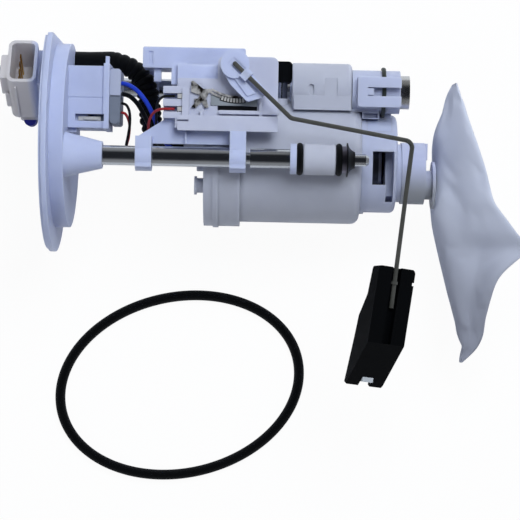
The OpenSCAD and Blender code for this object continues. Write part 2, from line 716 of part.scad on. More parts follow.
// Round wire bent in one plane; each straight ends a little inside a bend that is a hair thicker
bend_swell = 0.03;
bend_overlap = 0.3;
function turn(a, b) = (atan2(b[1], b[0]) - atan2(a[1], a[0]) + 540) % 360 - 180;
module bent_wire(p, r, bend, z) {
    n = len(p) - 1;
    dirs = [for (i = [0:n - 1]) unit(p[i + 1] - p[i])];
    turns = [for (i = [1:n - 1]) turn(dirs[i - 1], dirs[i])];
    trims = concat([0], [for (t = turns) bend * tan(abs(t) / 2)], [0]);
    for (i = [0:n - 1]) {
        from = p[i] + dirs[i] * (i == 0 ? 0 : trims[i] - bend_overlap);
        length = norm(p[i + 1] - from) - (i == n - 1 ? 0 : trims[i + 1] - bend_overlap);
        translate([from[0], from[1], z]) rotate([0, 90, atan2(dirs[i][1], dirs[i][0])])
            cylinder(r = r, h = length);
    }
    for (i = [1:n - 1]) {
        way = sign(turns[i - 1]);
        a = atan2(dirs[i - 1][1], dirs[i - 1][0]);
        at = p[i] - dirs[i - 1] * trims[i] + way * bend * [-sin(a), cos(a)];
        start = way > 0 ? a - 90 : a + 90 - abs(turns[i - 1]);
        translate([at[0], at[1], z]) rotate([0, 0, start]) rotate_extrude(angle = abs(turns[i - 1]))
            translate([bend, 0]) circle(r = r + bend_swell);
    }
}
module float_wire() color(steel) {
    bent_wire(wire_points, wire_r, wire_bend, wire_z);
    translate([pivot[0], pivot[1], base_z + 0.2]) cylinder(r = wire_r, h = wire_z - base_z - 0.2);
    translate([pivot[0], pivot[1], wire_z]) sphere(r = wire_r + bend_swell);
    translate([float_entry[0], float_entry[1], wire_z]) rotate([90, 0, float_turn])
        translate([0, 0, bump_y]) cylinder(r = bump_r, h = 1.6);
}

// Moulded float, hung on the wire's end in its groove
module float_frame() {
    translate([float_entry[0], float_entry[1], wire_z]) rotate([0, 0, float_turn])
        rotate([0, float_roll, 0]) children();
}
float_round = 2.6;
notch_w = 6.8;
notch_y = 5;
bump_y = 6.4;
bump_r = wire_r + 0.7;
module float() color(black_plastic)
    difference() {
        float_frame() difference() {
            intersection() {
                translate([-float_w / 2, 0, 0]) rotate([90, 0, 90]) linear_extrude(float_w) polygon([
                    [1, 1.4], [-float_len * 0.62, 1.4], [-float_len, -16], [-float_len + 1, -18],
                    [-float_len * 0.62, -14.5], [-27, -13], [-15, -7], [0, -5.4]]);
                soft_block([-float_w / 2, -float_len - 1, -20], [float_w / 2, 1.2, 4], float_round);
            }
            translate([-2.6, -float_len * 0.62, -1.3]) cube([5.2, float_len, 4]);
            translate([-notch_w / 2, -float_len - notch_y, -20]) cube([notch_w, 2 * notch_y, 12]);
            translate([float_w / 2 - 1, -7.4, -8]) cube([2, 1.6, 12]);
        }
        translate([float_entry[0], float_entry[1], wire_z]) rotate([90, 0, float_turn]) {
            translate([0, 0, -10]) cylinder(r = wire_r + 0.05, h = 32);
            translate([0, 0, bump_y - 0.2]) cylinder(r = bump_r + 0.15, h = 2);
        }
    }

// Light foot that closes the notch at the lower end of the float
module float_clip() color([0.75, 0.77, 0.78])
    float_frame() translate([-notch_w / 2 + 0.2, -float_len + notch_y - 2.65, -17])
        cube([notch_w - 0.4, 2.6, 4.6]);

// Cap with hose nozzle, wire entry and drain nub
module filter_cap() color(natural) {
    difference() {
        union() {
            tube_x(x_case, x_case + cap_len, cap_r, case_r + cap_clear, case_y, case_z);
            rod_x(x_case, x_shell, cap_r - eps, case_y, case_z);
            tube_x(x_case + 5, x_case + 8, cap_r + 0.8, cap_r - 0.2, case_y, case_z);
            rod_x(x_nozzle, x_case + eps, hose_r, nozzle_y, nozzle_z);
            rod_x(x_case - 4.4, x_case + eps, 4, -26.3, case_z + 22);
            rod_x(x_case - 5, x_case - 3.6, 5, -26.3, case_z + 22);
            block([x_case - 4, -18, 0], [x_case + eps, -6, 12]);
        }
        rod_x(x_nozzle - 1, x_shell + 1, 2.6, nozzle_y, nozzle_z);
        rod_x(x_case - 6, x_case - 1, 2, -26.3, case_z + 22);
        for (w = [blue_route, black_route]) {
            e = w[len(w) - 1];
            translate([e[0] - 1, e[1], e[2]]) rotate([0, 90, 0]) cylinder(r = supply_r + 0.15, h = 3);
        }
    }
}

// Case shell with pump well, upper outlet body and the two column eyes
case_round = 4.5;
arm_inset = 2;
case_rounding = [for (a = [0:18:90])
    [case_r - case_round * (1 - cos(a)), x_case_end - x_shell - case_round * (1 - sin(a))]];
eye_round = 1.4;
arm_root = case_r - case_wall - 3.2;
front_arm = [case_z + arm_root, front_rod_z - rod_hole_r - 1.25];
rear_arm_len = rear_reach - rod_hole_r - 1.8 - arm_root;
module column_eye(p) {
    round_rod(x_eye, x_cushion2, eye_d / 2, eye_round, eye_round, p[0], p[1]);
}
module filter_case() color(natural) {
    difference() {
        union() {
            translate([x_shell, case_y, case_z]) rotate([0, 90, 0]) rotate_extrude()
                polygon(concat([[0, 0], [case_r, 0]], case_rounding, [[0, x_case_end - x_shell]]));
            round_rod(x_upper, x_upper_end, upper_r, 0.8, 2.4, upper_y, upper_z);
            block([x_upper + 1, 16, -8], [x_upper_end - 0.4, upper_y, 16]);
            for (p = rod_places) column_eye(p);
            translate([riser_x, 17, riser_z]) rotate([-90, 0, 0]) cylinder(r = 4.8, h = riser_y0 - 17);
            block([x_eye + arm_inset, front_rod_y - 5, front_arm[0]],
                [x_cushion2 - arm_inset, front_rod_y + 5, front_arm[1]]);
            translate([x_eye + arm_inset, case_y, case_z]) rotate([-rear_angle, 0, 0])
                translate([0, arm_root, -4]) cube([eye_len - 2 * arm_inset, rear_arm_len, 8]);
        }
        difference() {
            rod_x(x_shell - 1, x_case_end - case_wall, case_r - case_wall, case_y, case_z);
            rod_x(x_shell - 2, x_case_end, well_r + well_wall, case_y, case_z);
        }
        rod_x(x_shell - 1, x_case_end + 1, well_r, case_y, case_z);
        for (p = rod_places) rod_x(x_eye - 1, x_cushion2 + 1, rod_hole_r, p[0], p[1]);
        soft_block([137.2, 24, upper_z + upper_r - 1.6], [139.8, 29.8, upper_z + upper_r + 2], 1.2);
        block([145.6, 21, upper_z + upper_r - 1], [152.6, 33.4, upper_z + upper_r + 2]);
        rod_x(x_upper - 1, x_upper + 10, 4.6, upper_y + 7, upper_z - 4);
    }
}

// Pleated filter ring between case and pump well
pleat_count = 36;
pleat_gap = 0.8;
pleat_depth = 3;
pleat_r = case_r - case_wall - pleat_gap;
module filter_element() color([0.85, 0.83, 0.7])
    extrude_x(x_shell + 5, x_case_end - case_wall - 5) translate([case_y, case_z]) difference() {
        polygon([for (i = [0:2 * pleat_count - 1])
            let (r = i % 2 == 0 ? pleat_r : pleat_r - pleat_depth, a = 180 * i / pleat_count)
                r * [cos(a), sin(a)]]);
        circle(r = well_r + well_wall + pleat_gap);
    }

// Pump holder over the lower end of the pump, with the regulator housing above it
fork_z = [20.2, 23.6];
fork_y = [17.6, 33.8];
fork_x = 163.4;
slot_y = [23.4, 28.2];
clip_x = 177.8;
clip_r = regulator_housing_r + 0.9;
clip_wire_r = 0.8;
module holder_windows() {
    block([172.4, -24, case_z + 14], [180, -6, case_z + 40]);
    block([180, -33, case_z + 12], [184, -6, case_z + 40]);
    block([170, 6, case_z + 8], [182, 12, case_z + 40]);
}
module pump_holder() color(natural) {
    difference() {
        union() {
            round_rod(x_case_end, x_holder_end, holder_r, 0, 2.8, case_y, case_z);
            rod_x(x_case_end, x_case_end + 2.4, holder_r + 0.9, case_y, case_z);
            rod_x(x_upper_end, x_housing_end, regulator_housing_r, regulator_y, regulator_z);
            block([x_upper_end, 8, -8], [182.6, 20, 4.6]);
            block([x_upper_end, 12, -8], [175.6, 20, 12]);
            block([fork_x, fork_y[0], 12], [fork_x + 5, fork_y[1], fork_z[0] + eps]);
            soft_block([fork_x, fork_y[0], fork_z[0]], [x_housing_end, fork_y[1], fork_z[1]], 1.4);
            rod_x(x_holder_end - 4, x_collar_end, suction_r - 1, suction_y, case_z);
        }
        rod_x(x_upper_end - 1, x_case_end, case_r + fit, case_y, case_z);
        rod_x(x_case_end - 1, x_pump_end + 4, pump_r + 0.5, case_y, case_z);
        difference() {
            rod_x(x_case_end - 1, x_holder_end - holder_wall, holder_r - holder_wall, case_y, case_z);
            rod_x(x_case_end - 2, x_holder_end, pump_r + 0.5 + holder_wall, case_y, case_z);
        }
        holder_windows();
        rod_x(x_pump_end, x_collar_end + 1, 9, suction_y, case_z);
        rod_x(x_regulator, x_housing_end + 1, regulator_r + fit, regulator_y, regulator_z);
        rod_x(x_upper_end - 1, x_regulator + 1, 4.6, regulator_y, regulator_z);
        block([fork_x + 5.4, slot_y[0], fork_z[0] - 1], [x_housing_end + 1, slot_y[1], fork_z[1] + 1]);
        block([x_case_end + 1, 12.4, 8], [175, 15, 20]);
        translate([clip_x, regulator_y, regulator_z]) rotate([0, 90, 0]) rotate_extrude()
            translate([clip_r, 0]) square([2.4, 2.2], center = true);
    }
    block([fork_x + 5.3, slot_y[0] + 0.6, fork_z[0]], [fork_x + 8.6, slot_y[1] - 0.6, fork_z[1] - 0.4]);
}

// Steel can of the roller motor
module pump_can() color(steel)
    tube_x(x_pump, x_pump_end, pump_r, pump_r - pump_wall, case_y, case_z);

can_bore = pump_r - pump_wall;
valve_bore = 3.6;
port_r = 2.2;
module pump_outlet_cover() color(black_plastic) {
    difference() {
        union() {
            rod_x(x_pump - 3, x_pump + 10, can_bore - fit, case_y, case_z);
            rod_x(x_pump - 16, x_pump, 5.5, case_y, case_z);
        }
        rod_x(x_pump + 4, x_pump + 11, shaft_r + run_clear, case_y, case_z);
        rod_x(x_pump - 15, x_pump - 4, valve_bore, case_y, case_z);
        rod_x(x_pump - 17, x_pump + 2, port_r, case_y, case_z);
        rod_x(x_pump + 1, x_pump + 11, 1.2, case_y + 5, case_z + 6);
        block([x_pump + 0.6, case_y - 1, case_z - 1], [x_pump + 2, case_y + 6, case_z + 7]);
        for (s = [-1, 1]) block([x_pump + 5, case_y + s * 7.5 - 2.6, case_z - 2.6],
            [x_pump + 11, case_y + s * 7.5 + 2.6, case_z + 2.6]);
    }
}

x_chamber = x_pump_end - 9;
module pump_inlet_cover() color([0.72, 0.73, 0.75]) {
    difference() {
        rod_x(x_chamber - 5, x_pump_end + 1.6, can_bore - fit, case_y, case_z);
        rod_x(x_chamber - 6, x_pump_end - 2, shaft_r + run_clear, case_y, case_z);
        rod_x(x_chamber, x_chamber + impeller_t + 0.4, impeller_r + 0.3, case_y, case_z);
        rod_x(x_chamber + impeller_t, x_pump_end + 2, 2.6, case_y - impeller_r + 3.4, case_z);
    }
}

magnet_half = 58;
module motor_magnets() color([0.25, 0.25, 0.27])
    for (s = [0, 180]) translate([x_pump + 14, case_y, case_z]) rotate([s - 90 - magnet_half, 0, 0])
        rotate([0, 90, 0]) rotate_extrude(angle = -2 * magnet_half)
            translate([armature_r + 0.8, 0]) square([can_bore - fit - armature_r - 0.8, x_chamber - x_pump - 21]);

module motor_brushes() color([0.2, 0.2, 0.2])
    for (s = [-1, 1]) block([x_pump + 10.2, case_y + s * 7.5 - 2.5, case_z - 2.5],
        [x_pump + 12.4, case_y + s * 7.5 + 2.5, case_z + 2.5]);

// Wound armature with slots, commutator face and shaft
module motor_armature() color([0.55, 0.35, 0.2]) {
    difference() {
        rod_x(x_pump + 16, x_chamber - 8, armature_r, case_y, case_z);
        for (i = [0:7]) translate([x_pump + 15, case_y, case_z]) rotate([45 * i, 0, 0])
            translate([0, armature_r - 3, -0.9]) cube([pump_len, 5, 1.8]);
    }
    rod_x(x_pump + 12.6, x_pump + 16 + eps, 10.4, case_y, case_z);
    rod_x(x_pump + 4.4, x_chamber + impeller_t + 1.4, shaft_r, case_y, case_z);
}

// Regenerative impeller with its rim of vane pockets
module pump_impeller() color(black_plastic)
    difference() {
        rod_x(x_chamber + 0.2, x_chamber + 0.2 + impeller_t, impeller_r, case_y, case_z);
        rod_x(x_chamber - 1, x_chamber + impeller_t + 2, shaft_r, case_y, case_z);
        for (i = [0:vane_count - 1]) translate([x_chamber, case_y, case_z])
            rotate([360 * i / vane_count, 0, 0]) translate([-1, impeller_r - 2.2, -0.6])
            cube([impeller_t + 3, 1.5, 1.2]);
    }

x_seat = x_pump - 4;
module check_valve() color([0.75, 0.7, 0.55]) {
    rod_x(x_seat - 1.6, x_seat - 0.02, valve_bore - 0.3, case_y, case_z);
    rod_x(x_seat - 5, x_seat - 1.5, 1.3, case_y, case_z);
}
module coil_spring(x0, x1, r, wire, turns, y, z) {
    steps = 12 * turns;
    swept_tube([for (i = [0:steps]) [x0 + (x1 - x0) * i / steps, y + r * cos(30 * i), z + r * sin(30 * i)]],
        wire, 6);
}
module check_valve_spring() color(steel)
    coil_spring(x_pump - 14.6, x_seat - 2, 2.5, 0.3, 5, case_y, case_z);

// Pressure regulator: can, valve disc and spring
module regulator_can() color([0.78, 0.78, 0.77]) {
    difference() {
        union() {
            rod_x(x_regulator + 0.2, x_regulator_end - 4.8, regulator_r, regulator_y, regulator_z);
            rod_x(x_regulator_end - 4.9, x_regulator_end, regulator_r + 0.5, regulator_y, regulator_z);
        }
        rod_x(x_regulator + 1.4, x_regulator_end - 1.2, regulator_r - 1.2, regulator_y, regulator_z);
        rod_x(x_regulator - 1, x_regulator + 3, 3, regulator_y, regulator_z);
        rod_x(x_regulator_end - 3, x_regulator_end + 1, 2.4, regulator_y, regulator_z);
    }
}
module regulator_valve() color([0.75, 0.7, 0.55]) {
    rod_x(x_regulator + 2, x_regulator + 4, regulator_r - 1.2 - 0.3, regulator_y, regulator_z);
    rod_x(x_regulator + 3.9, x_regulator + 8, 2.4, regulator_y, regulator_z);
}
module regulator_spring() color(steel)
    coil_spring(x_regulator + 5, x_regulator_end - 1.6, 4.6, 0.45, 5, regulator_y, regulator_z);

// Wire clip that keeps the regulator in its housing
module regulator_clip() color([0.12, 0.16, 0.12])
    translate([clip_x, regulator_y, regulator_z]) rotate([0, 90, 0]) rotate([0, 0, 85])
        rotate_extrude(angle = 190) translate([clip_r, 0]) circle(r = clip_wire_r, $fn = 24);

// Rubber elbow and its steel riser next to the upper body
module rubber_elbow() color(black_plastic) {
    soft_block([114, elbow_y[0], -7], [x_upper, elbow_y[1], 8], 2.2);
}
module riser_tube() color(zinc)
    translate([riser_x, riser_y0, riser_z]) rotate([-90, 0, 0]) cylinder(r = 3.4, h = elbow_y[0] - riser_y0);

// Hose and wires along their routes
module fuel_hose() color(black_plastic) swept_tube(hose_route, hose_r, 12);
module blue_wire() color([0.1, 0.2, 0.85]) swept_tube(blue_route, supply_r, 8);
module black_wire() color(black_plastic) swept_tube(black_route, supply_r, 8);
module thin_black_wire() color(black_plastic) swept_tube(thin_black_route, signal_r, 8);
module thin_red_wire() color([0.7, 0.1, 0.12]) swept_tube(thin_red_route, signal_r, 8);

// Suction body and neck between pump and strainer
module suction_neck() color(natural) {
    difference() {
        union() {
            rod_x(x_collar_end, x_suction_end, suction_r, suction_y, case_z);
            rod_x(x_suction_end - 1, x_neck_end, neck_r, neck_y, case_z);
            block([x_suction_end - 6, -9, case_z - 4], [x_suction_end + 1.6, 0, case_z + 4]);
        }
        rod_x(x_collar_end - 1, x_suction_end - 3, suction_r - 4, suction_y, case_z);
        rod_x(x_suction_end - 5, x_neck_end + 1, neck_r - 2, neck_y, case_z);
    }
}

// Plastic spine that keeps the strainer open
module strainer_spine() color(natural) {
    tube_x(x_neck_end, x_neck_end + spine_t, 13, neck_r - 2, neck_y, case_z);
}

// Woven strainer bag, lofted along Y between its left and right outlines
sock_left = [[-121, 223], [-107, 224.6], [-45, x_bag + 2], [-32, x_bag], [8, x_bag], [33.4, 216]];
sock_right = [[-121, 229], [-110.9, 234.5], [-95.4, 238], [-73.9, 243], [-57.5, 260], [-32.1, 241],
    [-13, 235], [33.4, 221]];
sock_stations = [-121, -111, -96, -82, -70, -57.5, -45, -32, -18, -4, 8, 20, 33.4];
sock_top = [[-121, -20], [-57, 28], [0, 26], [33.4, 6]];
sock_foot = [[-121, -26], [-96, -50], [-70, bench_z], [10, bench_z], [33.4, -12]];
function sock_section(y) =
    let (l = lookup(y, sock_left), r = lookup(y, sock_right), t = lookup(y, sock_top),
        f = lookup(y, sock_foot), k = case_z)
    [[l, f], [l, min(k, t - 4)], [r - 2, t], [r, t - 3], [l + sock_t, min(k, t - 4) - 4], [l + sock_t, f]];
module strainer_sock() color([0.9, 0.91, 0.94]) {
    sides = 6;
    points = [for (y = sock_stations, s = sock_section(y)) [s[0], y, s[1]]];
    n = len(sock_stations) - 1;
    walls = [for (i = [0:n - 1], k = [0:sides - 1], h = [0, 1])
        let (m = (k + 1) % sides, a = i * sides, b = a + sides)
        h == 0 ? [a + k, a + m, b + m] : [a + k, b + m, b + k]];
    start = [[0, 5, 4], [0, 4, 1], [1, 4, 3], [1, 3, 2]];
    e = n * sides;
    end = [for (f = start) [e + f[0], e + f[2], e + f[1]]];
    polyhedron(points = points, faces = concat(start, walls, end), convexity = 6);
}

// Loose tank seal that lies in an oval beside the module
seal_centre = [67.4, -139.6];
seal_tilt = 13.7;
seal_sides = 12;
seal_steps = 60;
module tank_seal() color(black_plastic)
    translate([seal_centre[0], seal_centre[1], bench_z + seal_d / 2]) rotate([0, 0, seal_tilt]) {
        points = [for (i = [0:seal_steps - 1], k = [0:seal_sides - 1])
            let (a = 360 * i / seal_steps, b = 360 * k / seal_sides,
                p = [seal_a * cos(a), seal_b * sin(a), 0],
                out = unit([seal_b * cos(a), seal_a * sin(a), 0]))
            p + seal_d / 2 * (cos(b) * out + [0, 0, sin(b)])];
        faces = [for (i = [0:seal_steps - 1], k = [0:seal_sides - 1])
            let (n = (k + 1) % seal_sides, a = i * seal_sides, b = ((i + 1) % seal_steps) * seal_sides)
            [a + k, a + n, b + n, b + k]];
        polyhedron(points = points, faces = faces, convexity = 6);
    }

flange_cover();
socket_blades();
vent_plug();
outlet_nipple();
inner_terminals();
harness_plug();
guide_rods();
upper_sleeves();
middle_sleeves();
lower_sleeves();
backing_washers();
rubber_cushions();
end_washers();
push_nuts();
rod_bracket();
sender_housing();
resistor_card();
sender_terminals();
collector_contacts();
arm_holder();
wiper_contacts();
float_wire();
float();
float_clip();
filter_cap();
filter_case();
filter_element();
pump_holder();
pump_can();
pump_outlet_cover();
pump_inlet_cover();
motor_magnets();
motor_brushes();
motor_armature();
pump_impeller();
check_valve();
check_valve_spring();
regulator_can();
regulator_valve();
regulator_spring();
regulator_clip();
rubber_elbow();
riser_tube();
fuel_hose();
blue_wire();
black_wire();
thin_black_wire();
thin_red_wire();
suction_neck();
strainer_spine();
strainer_sock();
tank_seal();
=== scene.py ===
"""In-tank fuel pump module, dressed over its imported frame.

The sections follow the module as it is put together: flange, columns, bracket, sender, filter case, pump,
regulator, hose, leads, strainer and the loose seal ring. New pieces are surfaces of two parameters, worked
out as whole arrays: a ring of angles carried along a path, or a net of heights over an outline.
"""
import math

import bpy
import numpy as np
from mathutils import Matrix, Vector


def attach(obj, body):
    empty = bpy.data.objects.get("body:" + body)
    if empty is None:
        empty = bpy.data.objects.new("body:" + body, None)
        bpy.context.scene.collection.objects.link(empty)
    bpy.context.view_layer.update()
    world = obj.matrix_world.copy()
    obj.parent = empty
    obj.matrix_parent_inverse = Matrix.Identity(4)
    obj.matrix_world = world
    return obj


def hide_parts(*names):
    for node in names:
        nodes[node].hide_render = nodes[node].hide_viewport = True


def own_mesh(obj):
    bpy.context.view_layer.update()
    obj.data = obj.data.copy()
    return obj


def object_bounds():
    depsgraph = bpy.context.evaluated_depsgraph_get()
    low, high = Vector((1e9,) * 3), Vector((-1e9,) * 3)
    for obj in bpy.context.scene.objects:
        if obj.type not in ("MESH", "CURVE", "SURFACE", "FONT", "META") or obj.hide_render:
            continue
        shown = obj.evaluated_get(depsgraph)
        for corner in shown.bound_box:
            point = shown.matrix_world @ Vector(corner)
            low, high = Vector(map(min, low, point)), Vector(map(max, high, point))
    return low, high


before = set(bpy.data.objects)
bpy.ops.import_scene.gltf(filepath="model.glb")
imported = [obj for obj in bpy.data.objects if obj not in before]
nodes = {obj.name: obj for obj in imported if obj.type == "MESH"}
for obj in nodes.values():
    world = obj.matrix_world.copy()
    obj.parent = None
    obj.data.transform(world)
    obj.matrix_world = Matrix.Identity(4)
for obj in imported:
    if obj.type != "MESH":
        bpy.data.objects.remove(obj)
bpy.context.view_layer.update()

# Camera: the photograph looks straight down on the bench from about 1.1 m, a little turned.
# One photo pixel is 0.55 mm in the plane of the flange axis, so the frame is 286 mm wide there.
lens = bpy.data.cameras.new("bench_camera")
camera = bpy.data.objects.new("bench_camera", lens)
bpy.context.scene.collection.objects.link(camera)
bpy.context.scene.camera = camera
camera_height = 1.1
frame_width = 0.286
camera.location = (0.1125, -0.0661, camera_height)
camera.rotation_euler = (0, 0, math.radians(1.2))
lens.sensor_width = 36
lens.lens = lens.sensor_width * camera_height / frame_width
lens.clip_start, lens.clip_end = 0.1, 10


def linear(code):
    """Linear colour of an sRGB hex code: c/12.92 below 0.04045, else ((c + 0.055)/1.055) to the power 2.4."""
    c = np.array([int(code[i:i + 2], 16) for i in (1, 3, 5)]) / 255
    c = np.where(c <= 0.04045, c / 12.92, ((c + 0.055) / 1.055) ** 2.4)
    return (*c.tolist(), 1.0)


def add(tree, kind, **settings):
    """Adds a shader node: a setting is a property, an input by name with _ for a space, or n3 for input 3."""
    node = tree.nodes.new("ShaderNode" + kind)
    for key, value in settings.items():
        if key[0] == "n" and key[1:].isdigit():
            socket = node.inputs[int(key[1:])]
        else:
            socket = node.inputs.get(key.replace("_", " "))
        if socket is None:
            setattr(node, key, value)
        elif isinstance(value, bpy.types.NodeSocket):
            tree.links.new(value, socket)
        else:
            socket.default_value = value
    return node


# Bench and light: a white sweep under the module, one large soft lamp towards the top of the picture and a
# weak one on the other side, as in a light tent.
bench_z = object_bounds()[0].z


def paper_material():
    """White card: most of what the camera sees is its own light, so shadows stay faint on it."""
    own_light = 0.95
    m = bpy.data.materials.new("bench_paper")
    m.use_nodes = True
    t = m.node_tree
    t.nodes.clear()
    path = add(t, "LightPath")
    seen = add(t, "Math", operation="MAXIMUM", n0=path.outputs["Is Camera Ray"],
               n1=path.outputs["Is Transmission Ray"])
    white = add(t, "Emission", Color=linear("#FFFFFF"), Strength=1.0)
    card = add(t, "BsdfDiffuse", Color=linear("#F4F4F6"))
    share = add(t, "Math", operation="MULTIPLY", n0=seen.outputs[0], n1=own_light)
    mix = add(t, "MixShader", n0=share.outputs[0], n1=card.outputs[0], n2=white.outputs[0])
    out = add(t, "OutputMaterial")
    t.links.new(mix.outputs[0], out.inputs["Surface"])
    return m


bench_reach = 3
bench_gap = 0.0002
side = 9
u, v = np.meshgrid(*[np.linspace(-bench_reach, bench_reach, side)] * 2, indexing="ij")
points = np.stack([u.ravel() + 0.11, v.ravel() - 0.06, np.full(u.size, bench_z - bench_gap)], 1)
first = np.arange(side * side).reshape(side, side)[:-1, :-1].ravel()
quads = np.stack([first, first + side, first + side + 1, first + 1], 1)
sheet = bpy.data.meshes.new("bench")
sheet.from_pydata(points.tolist(), [], quads.tolist())
bench = bpy.data.objects.new("bench", sheet)
bpy.context.scene.collection.objects.link(bench)
sheet.materials.append(paper_material())

for name, place, aim, size, power in (
        ("tent_lamp", (0.36, 0.46, 1.02), (0.1, -0.02, 0), 0.6, 13),
        ("fill_lamp", (-0.55, -0.60, 0.80), (0.1, -0.04, 0), 0.7, 2.5)):
    lamp = bpy.data.lights.new(name, "AREA")
    lamp.shape, lamp.size, lamp.energy = "SQUARE", size, power
    lamp.color = (0.88, 0.93, 1.0)
    o = bpy.data.objects.new(name, lamp)
    o.location = place
    way = np.array(aim) - np.array(place)
    o.rotation_euler = (math.acos(-way[2] / np.linalg.norm(way)), 0, math.atan2(way[1], way[0]) - math.pi / 2)
    o.visible_glossy = False
    bpy.context.scene.collection.objects.link(o)

world = bpy.data.worlds.new("tent")
bpy.context.scene.world = world
world.use_nodes = True
t = world.node_tree
t.nodes.clear()
direction = add(t, "TexCoord")
rise = add(t, "SeparateXYZ", n0=direction.outputs["Generated"])
ramp = add(t, "ValToRGB", n0=rise.outputs["Z"])
stops = ramp.color_ramp.elements
stops[0].position, stops[0].color = 0.0, linear("#9C9EA3")
stops[1].position, stops[1].color = 0.8, linear("#26282D")
stops.new(0.5).color = linear("#8E9094")
path = add(t, "LightPath")
tent = add(t, "Background", Color=ramp.outputs["Color"], Strength=1.0)
backdrop = add(t, "Background", Color=linear("#FFFFFF"), Strength=1.0)
choose = add(t, "MixShader", n0=path.outputs["Is Camera Ray"], n1=tent.outputs[0], n2=backdrop.outputs[0])
out = add(t, "OutputWorld")
t.links.new(choose.outputs[0], out.inputs["Surface"])
bpy.context.scene.view_settings.view_transform = "Standard"


def net_piece(name, net, closed=(False, True), smooth=True):
    """A surface over a net of points net[i, k]; closed says which way it joins up, and flat caps close open
    ends. The faces are turned so that the enclosed volume, the sum of v0.(v1 x v2)/6, is positive."""
    m, n = net.shape[:2]
    spans = np.arange(m if closed[0] else m - 1), np.arange(n if closed[1] else n - 1)
    i, k = np.meshgrid(*spans, indexing="ij")
    j, l = (i + 1) % m, (k + 1) % n
    quads = np.stack([i * n + k, j * n + k, j * n + l, i * n + l], -1).reshape(-1, 4)
    points = net.reshape(-1, 3)
    faces = quads.tolist()
    if not closed[0]:
        faces += [list(range(n))[::-1], [(m - 1) * n + q for q in range(n)]]
    a, b, c, d = (points[quads[:, q]] for q in range(4))
    volume = (np.einsum("ij,ij->i", a, np.cross(b, c)) + np.einsum("ij,ij->i", a, np.cross(c, d))).sum()
    if volume < 0:
        faces = [f[::-1] for f in faces]
    mesh = bpy.data.meshes.new(name)
    mesh.from_pydata(points.tolist(), [], faces)
    mesh.polygons.foreach_set("use_smooth", np.array([smooth and len(f) == 4 for f in faces]))
    mesh.update()
    o = bpy.data.objects.new(name, mesh)
    bpy.context.scene.collection.objects.link(o)
    return o


def arc_net(corners, angles, place):
    """A section of (out, up) corners turned through the angles, each point set by place(out, up, angle)."""
    out, up = np.array(corners, float).T
    return np.stack([np.stack(np.broadcast_arrays(*place(out, up, angle)), -1) for angle in angles]) / 1000


# Flange cover: one acetal moulding with spigot, connector box, rod bosses and the outer socket.
# Natural acetal is milky and slightly blue, with a fine moulded grain and a soft satin gloss.
def plastic_material(name, colour, shade, rough=0.42, grain_mm=0.5, depth=0.05, milky=0.0, mirror=0.5,
                     second=None):
    """Moulded thermoplastic: two close tones in soft clouds 15 mm wide, and the grain of the mould as bump.
    milky lets light spread some millimetres inside. second gives an axis, the millimetres along it where
    another tone starts and is full, and that tone."""
    m = bpy.data.materials.new(name)
    m.use_nodes = True
    t = m.node_tree
    t.nodes.clear()
    at = add(t, "TexCoord").outputs["Object"]
    cloud = add(t, "TexNoise", Vector=at, Scale=1 / 0.015, Detail=3.0, Roughness=0.55)
    tone = add(t, "Mix", data_type="RGBA", n0=cloud.outputs["Fac"], n6=linear(shade), n7=linear(colour))
    if second:
        axis, start, full, other = second
        along = add(t, "SeparateXYZ", n0=at).outputs[axis]
        share = add(t, "MapRange", n0=along, n1=start / 1000, n2=full / 1000)
        tone = add(t, "Mix", data_type="RGBA", n0=share.outputs[0], n6=tone.outputs[2], n7=linear(other))
    grain = add(t, "TexNoise", Vector=at, Scale=1000 / grain_mm, Detail=2.0)
    bump = add(t, "Bump", Strength=0.25, Distance=depth / 1000, Height=grain.outputs["Fac"])
    gloss = add(t, "MapRange", n0=cloud.outputs["Fac"], n3=rough - 0.07, n4=rough + 0.07)
    skin = add(t, "BsdfPrincipled", Base_Color=tone.outputs[2], Roughness=gloss.outputs[0],
               Normal=bump.outputs[0], IOR=1.48, Specular_IOR_Level=mirror, Subsurface_Weight=milky,
               Subsurface_Radius=(1.0, 1.0, 1.1), Subsurface_Scale=0.004)
    out = add(t, "OutputMaterial")
    t.links.new(skin.outputs[0], out.inputs["Surface"])
    return m


def dress(material, *names):
    """Gives CAD nodes their material."""
    for name in names:
        mesh = nodes[name].data
        mesh.materials.clear()
        mesh.materials.append(material)


natural_acetal = plastic_material("natural_acetal", "#BFC7E2", "#B1B9D6", 0.4, milky=0.5)
clear_acetal = plastic_material("unfilled_acetal", "#BCBFCB", "#AEB1BE", 0.4, milky=0.6)
dress(plastic_material("cover_acetal", "#BFC7E2", "#B1B9D6", 0.4, milky=0.5,
                       second=("X", -10, -14, "#C9C5C6")), "flange_cover")


